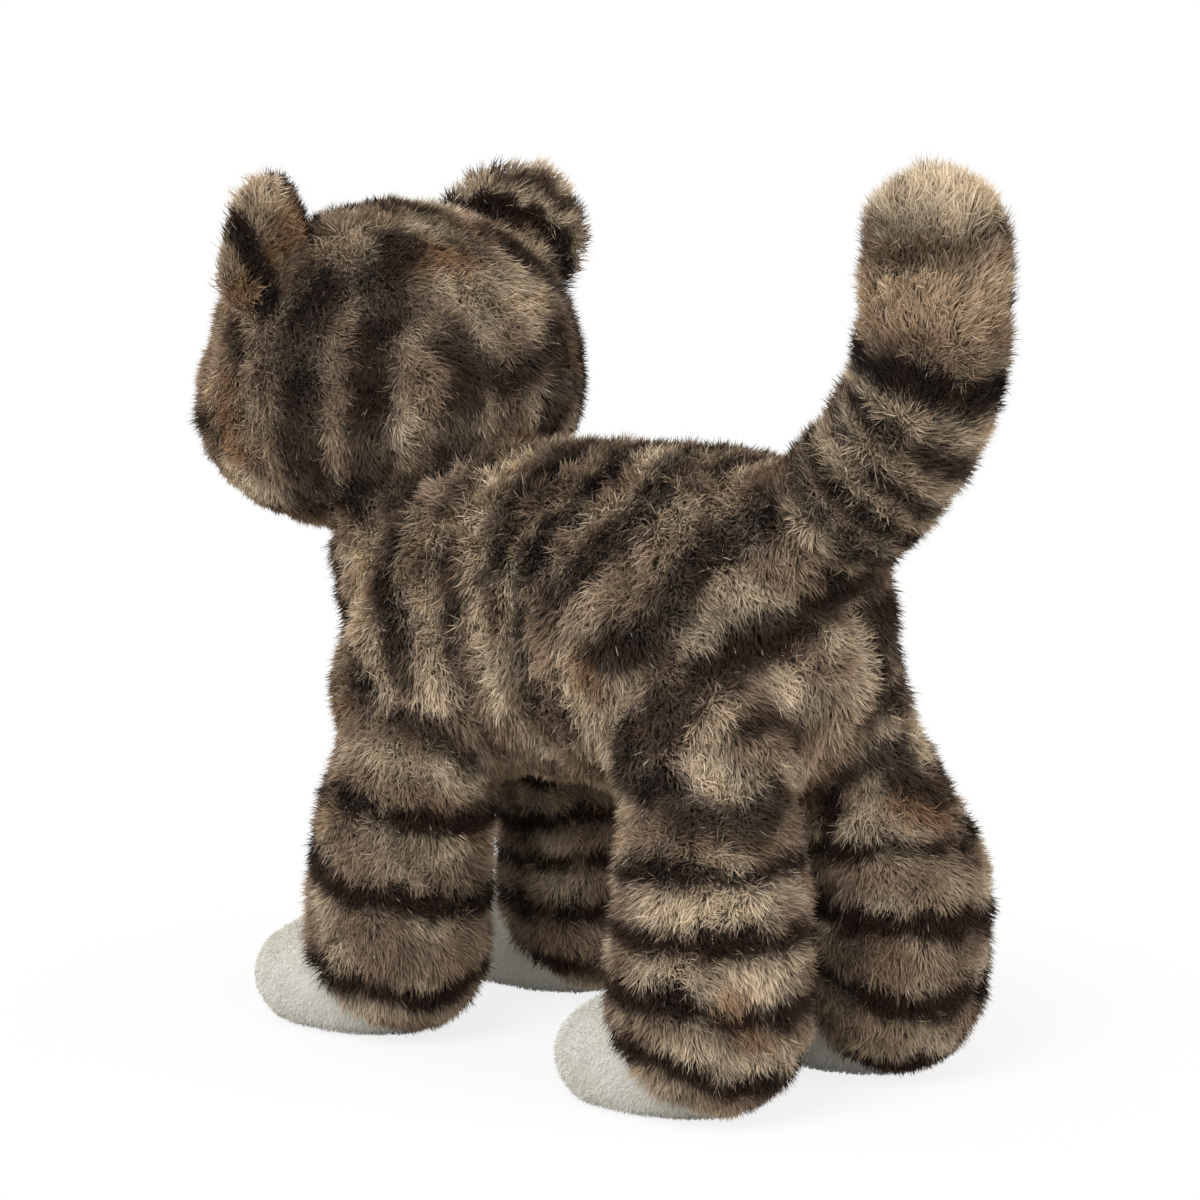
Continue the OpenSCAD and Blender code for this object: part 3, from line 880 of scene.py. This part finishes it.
# %% Length of the pile, in millimetres
pile_length = {"muzzle": 1.6, "ear_lining": 2.2, "cap": 1.1, "sole": 0.9, "tail": 5.0,
               "ear_back": 4.6, "leg": 4.6, "head": 4.6, "crown": 4.4, "trunk": 4.9, "belly": 4.4}


def length_at(name, p):
    """The pile is clipped short round the eyes and nose, under the chin and at seams."""
    kind = next(k for k in pile_length if k in name)
    length = np.full(len(p), pile_length[kind])
    if kind in ("head", "crown"):
        for at in (*eyes, nose_at):
            length *= 0.3 + 0.7 * soft_step((np.linalg.norm(p - at, axis=1) - 5) / 9)
        length *= 1 - 0.35 * soft_step((132 - p[:, 2]) / 12) * soft_step((-62 - p[:, 1]) / 14)
        length *= 0.55 + 0.45 * soft_step((np.linalg.norm(p - nose_at, axis=1) - 16) / 12)
    if kind == "leg":
        length *= 0.45 + 0.55 * soft_step(p[:, 2] / 12)
    if kind == "tail":
        length *= 1 + 0.25 * soft_step((p[:, 2] - 178) / 12)
    return length * (1 - 0.35 * np.minimum(sewn(p), 1))


print("tail pile, mm:", length_at("tail", np.array([[0.0, 105.0, 150.0]])).round(2))

# %% [markdown]
# ## Growing the pile
# The roots are scattered evenly over a panel's outer face. Each lock then gets a way to
# lie, from the comb and the tufts, and a lean that grows towards its tip. Its width is
# some ten times that of one fibre, as it stands for a small bunch of them. Short plush
# has finer locks, and the large body sides fewer but broader ones. One seed for each
# panel keeps the pile the same in every run.

# %% Roots on the fabric
per_mm2 = {"muzzle": 7, "ear_lining": 8, "cap": 6, "sole": 3, "belly": 8, "trunk": 7.5}
usual_per_mm2, draft_share = 10.8, 0.25
lock_half = 0.13
broader = {"cap": 0.8, "trunk": 1.2}


def by_name(table, name, usual):
    """The value beside the first word of a table that a piece's name holds."""
    return next((value for word, value in table.items() if word in name), usual)


def read_fabric(piece):
    """A fabric's points, directions and triangles, and the area of those that bear pile."""
    old = piece.data
    old.calc_loop_triangles()
    skin = points(piece)
    tri = np.empty(len(old.loop_triangles) * 3, int)
    old.loop_triangles.foreach_get("vertices", tri)
    tri = tri.reshape(-1, 3)
    outer = np.empty(len(old.polygons), int)
    old.attributes["outer"].data.foreach_get("value", outer)
    polygon = np.empty(len(tri), int)
    old.loop_triangles.foreach_get("polygon_index", polygon)
    a, b, c = skin[tri[:, 0]], skin[tri[:, 1]], skin[tri[:, 2]]
    area = np.linalg.norm(np.cross(b - a, c - a), axis=1) / 2 * (outer[polygon] > 0)
    return skin, outward(piece), tri, area


def scattered(skin, facing, tri, area, dense, chance):
    """Roots spread evenly over the fabric, with the direction out of it at each."""
    count = np.floor(area * dense + chance.random(len(area))).astype(int)
    at = np.repeat(np.arange(len(tri)), count)
    u, v = chance.random(len(at)), chance.random(len(at))
    u, v = np.where(u + v > 1, 1 - u, u), np.where(u + v > 1, 1 - v, v)
    w = (1 - u - v)[:, None]
    u, v = u[:, None], v[:, None]
    root = skin[tri[at, 0]] * w + skin[tri[at, 1]] * u + skin[tri[at, 2]] * v
    n = facing[tri[at, 0]] * w + facing[tri[at, 1]] * u + facing[tri[at, 2]] * v
    return root, n / np.linalg.norm(n, axis=1, keepdims=True)


# %% Lie and shape of the locks


def brushed(name, root, n, chance):
    """The way each lock lies along the fabric: combed, tufted, and a little by chance."""
    way = comb_way(name, root)
    way /= np.linalg.norm(way, axis=1, keepdims=True)
    tuft = np.stack([ripple(root, 5, 31 + k) for k in range(3)], 1) * 0.5
    swirl = np.stack([ripple(root, 17, 41 + k) for k in range(3)], 1) * 0.6
    way = way + tuft + swirl + chance.normal(0, 0.42, root.shape)
    way -= n * (way * n).sum(1, keepdims=True)
    return way / np.maximum(np.linalg.norm(way, axis=1, keepdims=True), 1e-6)


def locks_on(name, root, n, way, chance):
    """The four points of each lock: a root in the fabric, two broad corners and a tip."""
    many = len(root)
    long = (length_at(name, root) * chance.uniform(0.6, 1.15, many)
            * (1 + 0.12 * ripple(root, 8, 51)))[:, None]
    lean = (np.radians(chance.normal(34, 12, many)) + ripple(root, 6, 52) * 0.25)[:, None]
    lean_tip = lean + np.radians(chance.uniform(5, 38, many))[:, None]
    stalk = n * np.cos(lean) + way * np.sin(lean)
    mid = root + stalk * long * 0.5
    tip = mid + (n * np.cos(lean_tip) + way * np.sin(lean_tip)) * long * 0.5
    broad = np.cross(n, way)
    twist = chance.normal(0, 0.6, many)[:, None]
    broad = broad * np.cos(twist) + np.cross(stalk, broad) * np.sin(twist)
    half = lock_half * by_name(broader, name, 1) * chance.uniform(0.7, 1.3, many)[:, None]
    # the root is sunk 0.25 mm, and no lock goes through the floor
    locks = np.stack([root - n * 0.25, mid - broad * half, mid + broad * half, tip], 1)
    locks[:, :, 2] = np.maximum(locks[:, :, 2], 0.15)
    return locks


# %% Dye and shade of the locks


def dyed(name, skin, root, chance):
    """The shares of dark, tan and pale dye, for the fabric's points and then the locks'."""
    if name.startswith("ear_back"):
        side = name.split("_")[-1]
        on_fabric, on_locks = ear_cover(skin, side), ear_cover(root, side)
    else:
        on_fabric, on_locks = cover(skin), cover(root + chance.normal(0, 0.35, root.shape))
    dye = np.ones((len(skin) + 4 * len(root), 4))
    for k, kind in enumerate(("dark", "tan", "pale")):
        dye[:, k] = np.concatenate([on_fabric[kind], np.repeat(on_locks[kind], 4)])
    return dye


def fibre_marks(skin, root, chance):
    """How far up its lock a point is, the lock's own random tone, and a few tips with a painted
    glint.
    """
    many = len(root)
    fibre = np.ones((len(skin) + 4 * many, 4))
    fibre[:, 0] = np.concatenate([np.zeros(len(skin)), np.tile([0.0, 0.5, 0.5, 1.0], many)])
    fibre[:, 1] = np.concatenate([np.full(len(skin), 0.5), np.repeat(chance.random(many), 4)])
    # a few locks get a painted glint: a flag that the material turns to near white
    painted_glint = (chance.random(many) < 0.006)[:, None] * np.array([0.0, 0.0, 0.0, 1.0])
    fibre[:, 2] = np.concatenate([np.zeros(len(skin)), painted_glint.ravel()])
    return fibre


# %% Fabric and pile as one mesh


def pile_mesh(name, place, faces, **marks):
    """A mesh of triangles with the dye and fibre values on its points."""
    mesh = bpy.data.meshes.new(f"fur_{name}")
    mesh.vertices.add(len(place))
    mesh.vertices.foreach_set("co", (place * mm).ravel())
    mesh.loops.add(3 * len(faces))
    mesh.loops.foreach_set("vertex_index", faces.ravel())
    mesh.polygons.add(len(faces))
    mesh.polygons.foreach_set("loop_start", np.arange(0, 3 * len(faces), 3))
    mesh.polygons.foreach_set("use_smooth", np.ones(len(faces), bool))
    for label, values in marks.items():
        layer = mesh.attributes.new(label, "FLOAT_COLOR", "POINT")
        layer.data.foreach_set("color", values.ravel())
    return mesh


def add_bake_map(mesh, flat, many):
    """Gives every triangle of fabric, and every lock, its own cell of a square map."""
    cell = np.concatenate([np.arange(flat), flat + np.tile(np.arange(many), 2)])
    corner = np.concatenate([np.tile([[.1, .1], [.9, .1], [.1, .9]], (flat, 1, 1)),
                             np.tile([[.5, .08], [.1, .5], [.9, .5]], (many, 1, 1)),
                             np.tile([[.1, .5], [.5, .92], [.9, .5]], (many, 1, 1))])
    wide = math.ceil(math.sqrt(flat + many))
    corner = (corner + np.stack([cell % wide, cell // wide], 1)[:, None, :]) / wide
    mesh.uv_layers.new(name="OFBake").data.foreach_set("uv", corner.ravel())


def grow(name, piece, seed):
    """Gives a fabric piece its pile, and tells how many locks it has."""
    chance = np.random.default_rng(seed)
    skin, facing, tri, area = read_fabric(piece)
    dense = by_name(per_mm2, name, usual_per_mm2) * 1
    root, n = scattered(skin, facing, tri, area, dense, chance)
    way = brushed(name, root, n, chance)
    locks = locks_on(name, root, n, way, chance)
    first = len(skin) + 4 * np.arange(len(root))[:, None]
    faces = np.concatenate([tri, first + [0, 1, 2], first + [1, 3, 2]])
    place = np.concatenate([skin, locks.reshape(-1, 3)])
    dye = dyed(name, skin, root, chance)
    mesh = pile_mesh(name, place, faces, dye=dye, fibre=fibre_marks(skin, root, chance))
    add_bake_map(mesh, len(tri), len(root))
    mesh.update(calc_edges=True)
    old, piece.data, piece.name = piece.data, mesh, f"fur_{name}"
    bpy.data.meshes.remove(old)
    return len(root)


# %% Pile on every panel
grown = {}
for k, (name, piece) in enumerate(sorted(pieces.items())):
    if name.startswith("filling"):
        for face in piece.data.polygons:
            face.use_smooth = True
        continue
    outer_faces = len(piece.data.polygons)
    thickened(piece, ear_thick if "ear" in name else fabric_thick)
    outer = np.zeros(len(piece.data.polygons), int)
    outer[:outer_faces] = 1
    piece.data.attributes.new("outer", "INT", "FACE").data.foreach_set("value", outer)
    grown[name] = grow(name, piece, 100 + k)
print("locks of pile:", sum(grown.values()), grown)

# %% [markdown]
# ## Tabby fur fabric
# The pile is modacrylic or polyester fibre, dyed in bars. Each fibre is a little glossy.
# Its colour holds painted shade, darker at its root where light doesn't reach, and painted
# light, paler at its tip. Roughness is high, since a mass of fibres scatters light, and a
# weak sheen gives the halo of light along the outline. A few lock tips have painted glints,
# bright specks mixed into their colour. The dye values were stored on the mesh, so the
# pattern follows the pile wherever a limb bends.

# %% Fur materials
rgba = {"data_type": "RGBA", "clamp_factor": True}


def new_material(name):
    """A fresh material, with its node tree and its shader."""
    material = bpy.data.materials.new(name)
    material.use_nodes = True
    return material, material.node_tree, material.node_tree.nodes["Principled BSDF"]


def fur_material(name, ground, warm, tan, pale, dark, root=0.36, tip=1.42, spread=0.32):
    """Pile fabric dyed by the masks on the mesh, from one ground colour to its bars, with painted
    shade and light along each lock and painted glints.
    """
    material, tree, shader = new_material(name)
    dye = add(tree, "ShaderNodeAttribute", {"attribute_name": "dye"})
    fibre = add(tree, "ShaderNodeAttribute", {"attribute_name": "fibre"})
    dyes = add(tree, "ShaderNodeSeparateColor", Color=dye.outputs["Color"]).outputs
    strand = add(tree, "ShaderNodeSeparateColor", Color=fibre.outputs["Color"]).outputs
    place = add(tree, "ShaderNodeTexCoord").outputs["Object"]
    # clouds of warmer and greyer dye, some 18 mm across
    cloud = add(tree, "ShaderNodeTexNoise", Vector=place, Scale=1 / (18 * mm), Detail=2.0)
    cloudy = add(tree, "ShaderNodeMapRange", Value=cloud.outputs["Fac"], From_Min=0.38,
                 From_Max=0.62).outputs[0]
    colour = srgb(ground)
    for share, code in ((cloudy, warm), (dyes[2], pale), (dyes[1], tan), (dyes[0], dark)):
        colour = add(tree, "ShaderNodeMix", rgba, i0=share, i6=colour, i7=srgb(code)).outputs[2]
    # painted shade at the root, rising to painted light at the tip
    light = add(tree, "ShaderNodeMapRange", Value=strand[0], To_Min=root, To_Max=tip).outputs[0]
    uneven = add(tree, "ShaderNodeMapRange", Value=strand[1], To_Min=1 - spread,
                 To_Max=1 + spread).outputs[0]
    gain = add(tree, "ShaderNodeMath", {"operation": "MULTIPLY"}, i0=light, i1=uneven).outputs[0]
    grey = add(tree, "ShaderNodeCombineColor", Red=gain, Green=gain, Blue=gain).outputs[0]
    colour = add(tree, "ShaderNodeMix", {**rgba, "blend_type": "MULTIPLY"}, i0=1.0, i6=colour,
                 i7=grey).outputs[2]
    # painted glints: the flagged lock tips are mixed towards near white, as if they caught the lamp
    colour = add(tree, "ShaderNodeMix", rgba, i0=strand[2], i6=colour,
                 i7=srgb("#f3e9dc")).outputs[2]
    plug(tree, shader, Base_Color=colour, Roughness=0.66, Specular_IOR_Level=0.18,
         Sheen_Weight=0.08, Sheen_Roughness=0.5)
    return material


# ground, warm ground, tan, pale and dark
tabby = fur_material("tabby modacrylic fur fabric", "#907b67", "#a48d76", "#a88463", "#e2cfb3",
                     "#2c1a0e")
# short, pale and soft: little painted shade at the root, and even from fibre to fibre
ear_plush = fur_material("pale polyester plush", "#d9c4ae", "#e0cdb8", "#cfa98a", "#e6d8c6",
                         "#8d7359", 0.6, 1.2, 0.15)
# close white pile, which reads almost as felt, with only faint painted shade at the root
toe_plush = fur_material("white polyester plush", "#efede4", "#f1efe8", "#efede4", "#f4f2ea",
                         "#efede4", 0.86, 1.03, 0.05)
print("fur materials:", tabby.name, ear_plush.name, toe_plush.name)

# %% [markdown]
# ## Filling, bags and small parts
# Inside, the toy is honest too: white polyester fibrefill, pellet bags in a plain cotton
# weave, and the white polypropylene washers that lock the eyes. The eyes are acrylic,
# dark brown with a black pupil and a clear gloss. The nose is flocked ABS, matt and dusty
# pink, and the mouth is a stitch of dark cotton thread.

# %% Filling, bags, washers and nose
# crimped fibre: soft wisps with a lumpy surface and no shine
fill, tree, shader = new_material("polyester fibrefill")
place = add(tree, "ShaderNodeTexCoord").outputs["Object"]
wisps = add(tree, "ShaderNodeTexNoise", Vector=place, Scale=1 / (2.5 * mm), Detail=6.0,
            Distortion=1.5).outputs["Fac"]
colour = add(tree, "ShaderNodeMix", rgba, i0=wisps, i6=srgb("#e3e0d8"), i7=srgb("#f4f2ec"))
lumps = add(tree, "ShaderNodeBump", Strength=0.6, Distance=0.4 * mm, Height=wisps)
plug(tree, shader, Base_Color=colour.outputs[2], Roughness=0.9, Normal=lumps.outputs[0])

# undyed threads 0.7 mm apart, dull
bag, tree, shader = new_material("plain weave cotton")
place = add(tree, "ShaderNodeTexCoord").outputs["Object"]
weave = add(tree, "ShaderNodeTexChecker", Vector=place, Scale=1 / (0.7 * mm),
            Color1=srgb("#cfc6b2"), Color2=srgb("#ddd6c6"))
plug(tree, shader, Base_Color=weave.outputs["Color"], Roughness=0.85)

# milky plastic straight from the mould, with half a shine
washer, tree, shader = new_material("moulded polypropylene")
place = add(tree, "ShaderNodeTexCoord").outputs["Object"]
cloud = add(tree, "ShaderNodeTexNoise", Vector=place, Scale=1 / (3 * mm)).outputs["Fac"]
colour = add(tree, "ShaderNodeMix", rgba, i0=cloud, i6=srgb("#e6e6e2"), i7=srgb("#f2f2ef"))
plug(tree, shader, Base_Color=colour.outputs[2], Roughness=0.45)

# short fibres glued on end over plastic: matt, with a dusty edge
nose_flock, tree, shader = new_material("flocked ABS")
place = add(tree, "ShaderNodeTexCoord").outputs["Object"]
flock = add(tree, "ShaderNodeTexNoise", Vector=place, Scale=1 / (0.35 * mm), Detail=3.0)
colour = add(tree, "ShaderNodeMix", rgba, i0=flock.outputs["Fac"], i6=srgb("#a06a64"),
             i7=srgb("#c08a82"))
plug(tree, shader, Base_Color=colour.outputs[2], Roughness=0.8, Sheen_Weight=0.3)

nodes["nose"].material_slots[0].material = nose_flock
for name in nodes:
    if "bean_bag" in name:
        nodes[name].material_slots[0].material = bag
print("soft and small parts:", fill.name, bag.name, washer.name, nose_flock.name)

# %% [markdown]
# ## Eyes
# A toy's eye is a dome of cast acrylic, painted behind: a black pupil, an amber ring and a
# dark rim. The paint shows through a hard, clear gloss. The rings are drawn by distance
# from the line the eye looks along, so they stay round wherever the eye is set.

# %% Eyes
rim_radius, eyes_out = 5.5 * mm, math.radians(24)
for side, at in zip(("left", "right"), eyes):
    acrylic, tree, shader = new_material(f"acrylic eye {side}")
    place = add(tree, "ShaderNodeTexCoord").outputs["Object"]
    s = 1 if side == "left" else -1
    look = Vector((math.sin(eyes_out) * s, -math.cos(eyes_out), 0.17)).normalized()
    centre = Vector(at) * mm
    seat = add(tree, "ShaderNodeVectorMath", {"operation": "SUBTRACT"}, i0=place,
               i1=tuple(centre)).outputs[0]
    on_axis = add(tree, "ShaderNodeVectorMath", {"operation": "CROSS_PRODUCT"}, i0=seat,
                  i1=tuple(look)).outputs[0]
    off = add(tree, "ShaderNodeVectorMath", {"operation": "LENGTH"}, i0=on_axis).outputs["Value"]
    reach = add(tree, "ShaderNodeMapRange", Value=off, From_Max=rim_radius).outputs[0]
    rim = add(tree, "ShaderNodeValToRGB", Fac=reach)
    stops = rim.color_ramp.elements
    stops[0].position, stops[0].color = 0.0, srgb("#060403")
    stops[1].position, stops[1].color = 1.0, srgb("#120a05")
    for at_ramp, code in ((0.48, "#060403"), (0.56, "#6b4218"), (0.8, "#8a5a22")):
        stops.new(at_ramp).color = srgb(code)
    plug(tree, shader, Base_Color=rim.outputs["Color"], Roughness=0.06, Coat_Weight=0.6)
    nodes[f"eye_{side}"].material_slots[0].material = acrylic
    nodes[f"eye_washer_{side}"].material_slots[0].material = washer
    print("eye", side, "at, mm:", at.round(1))

# %% [markdown]
# ## Mouth
# The mouth is stitched last, in three strokes of embroidery thread: one down from the
# nose, and one curving out to each side. Each stroke is a row of thin capsules, lifted
# off the muzzle's skin so that they lie on top of its short pile.

# %% Mouth
thread_half, lift = 0.5, 1.5
bm = bmesh.new()
stitches = [[(0, -2.5), (0, -4), (0, -5.5)]]
stitches += [[(0, -5.5), (s * 1.8, -6.9), (s * 3.8, -7.2), (s * 5.6, -6.3)] for s in (1, -1)]
for stitch in stitches:
    laid = []
    for x, z in stitch:
        near = Vector((x, nose_at[1] + 1, nose_at[2] + z)) * mm
        _, at, way, _ = form.closest_point_on_mesh(near)
        laid.append(tuple(at / mm + way * lift))
    for a, b in zip(laid, laid[1:]):
        capsule(bm, a, thread_half, b, thread_half)
mouth = as_object(bm, "mouth_stitch")
# twisted plies 0.9 mm apart, dark brown and hardly glossy
thread, tree, shader = new_material("cotton embroidery thread")
place = add(tree, "ShaderNodeTexCoord").outputs["Object"]
twist = add(tree, "ShaderNodeTexWave", Vector=place, Scale=1 / (0.9 * mm), Distortion=1.0)
colour = add(tree, "ShaderNodeMix", rgba, i0=twist.outputs["Fac"], i6=srgb("#3a261c"),
             i7=srgb("#553a2c"))
plug(tree, shader, Base_Color=colour.outputs[2], Roughness=0.7)
mouth.data.materials.append(thread)
print("mouth, faces:", len(mouth.data.polygons))

# %% [markdown]
# ## Putting the pieces on the bodies
# Every panel crosses at most one joint. Here the belly rides on the trunk, each toe cap and
# sole on its leg, and the mouth on the head. Every other piece, the fillings too, only has
# its place baked into its mesh.

# %% Materials and slots
for name, piece in pieces.items():
    cloth = toe_plush if any(k in name for k in ("cap", "sole", "muzzle")) else \
        ear_plush if "lining" in name else fill if name.startswith("filling") else tabby
    piece.data.materials.append(cloth)
print("pieces with a material:", len(pieces))

# %% Rides and baked places


for name, piece in pieces.items():
    if name.startswith("trunk") or name == "filling_trunk":
        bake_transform(piece)
    elif name == "belly":
        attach(piece, "trunk")
    elif name.startswith("head") or name in ("crown", "muzzle", "filling_head"):
        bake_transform(piece)
    elif "tail" in name:
        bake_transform(piece)
    elif name.startswith("ear"):
        side = name.split("_")[-1]
        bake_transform(piece)
    else:
        parts = name.split("_")
        where, side = (parts[1], parts[2]) if parts[0] == "filling" else (parts[0], parts[2])
        body = f"{where}_leg_{side}"
        if parts[1] in ("cap", "sole"):
            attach(piece, body)
        else:
            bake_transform(piece)
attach(mouth, "head")
print("pieces set on bodies:", len(pieces) + 1)

# %% [markdown]
# ## What each piece stands for
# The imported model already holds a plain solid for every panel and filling. Each piece
# made here names the solids it takes the place of, so that they aren't shown twice. The
# form they were all cut from isn't a piece, and goes.

# %% Solids replaced
stands_for = {"trunk_left": ["body_side_left"], "trunk_right": ["body_side_right"],
              "belly": ["belly_panel"],
              "filling_trunk": ["body_stuffing", "neck_stuffing"], "head_left": ["head_side_left"],
              "head_right": ["head_side_right"], "crown": ["head_gusset"],
              "muzzle": ["muzzle_skin"],
              "filling_head": ["head_stuffing", "muzzle_stuffing"], "tail": ["tail_skin"],
              "filling_tail": ["tail_stuffing"]}
for side in ("left", "right"):
    stands_for[f"ear_back_{side}"] = [f"ear_back_{side}"]
    stands_for[f"ear_lining_{side}"] = [f"ear_lining_{side}"]
    for where in ("front", "hind"):
        stands_for[f"{where}_leg_{side}"] = [f"{where}_leg_skin_{side}"]
        stands_for[f"{where}_cap_{side}"] = [f"{where}_paw_cap_{side}"]
        stands_for[f"{where}_sole_{side}"] = [f"{where}_sole_{side}"]
        stands_for[f"filling_{where}_{side}"] = [f"{where}_leg_stuffing_{side}"]
for name, replaced in stands_for.items():
    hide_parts(*replaced)
bpy.data.objects.remove(form)
print("solids replaced:", sum(map(len, stands_for.values())))
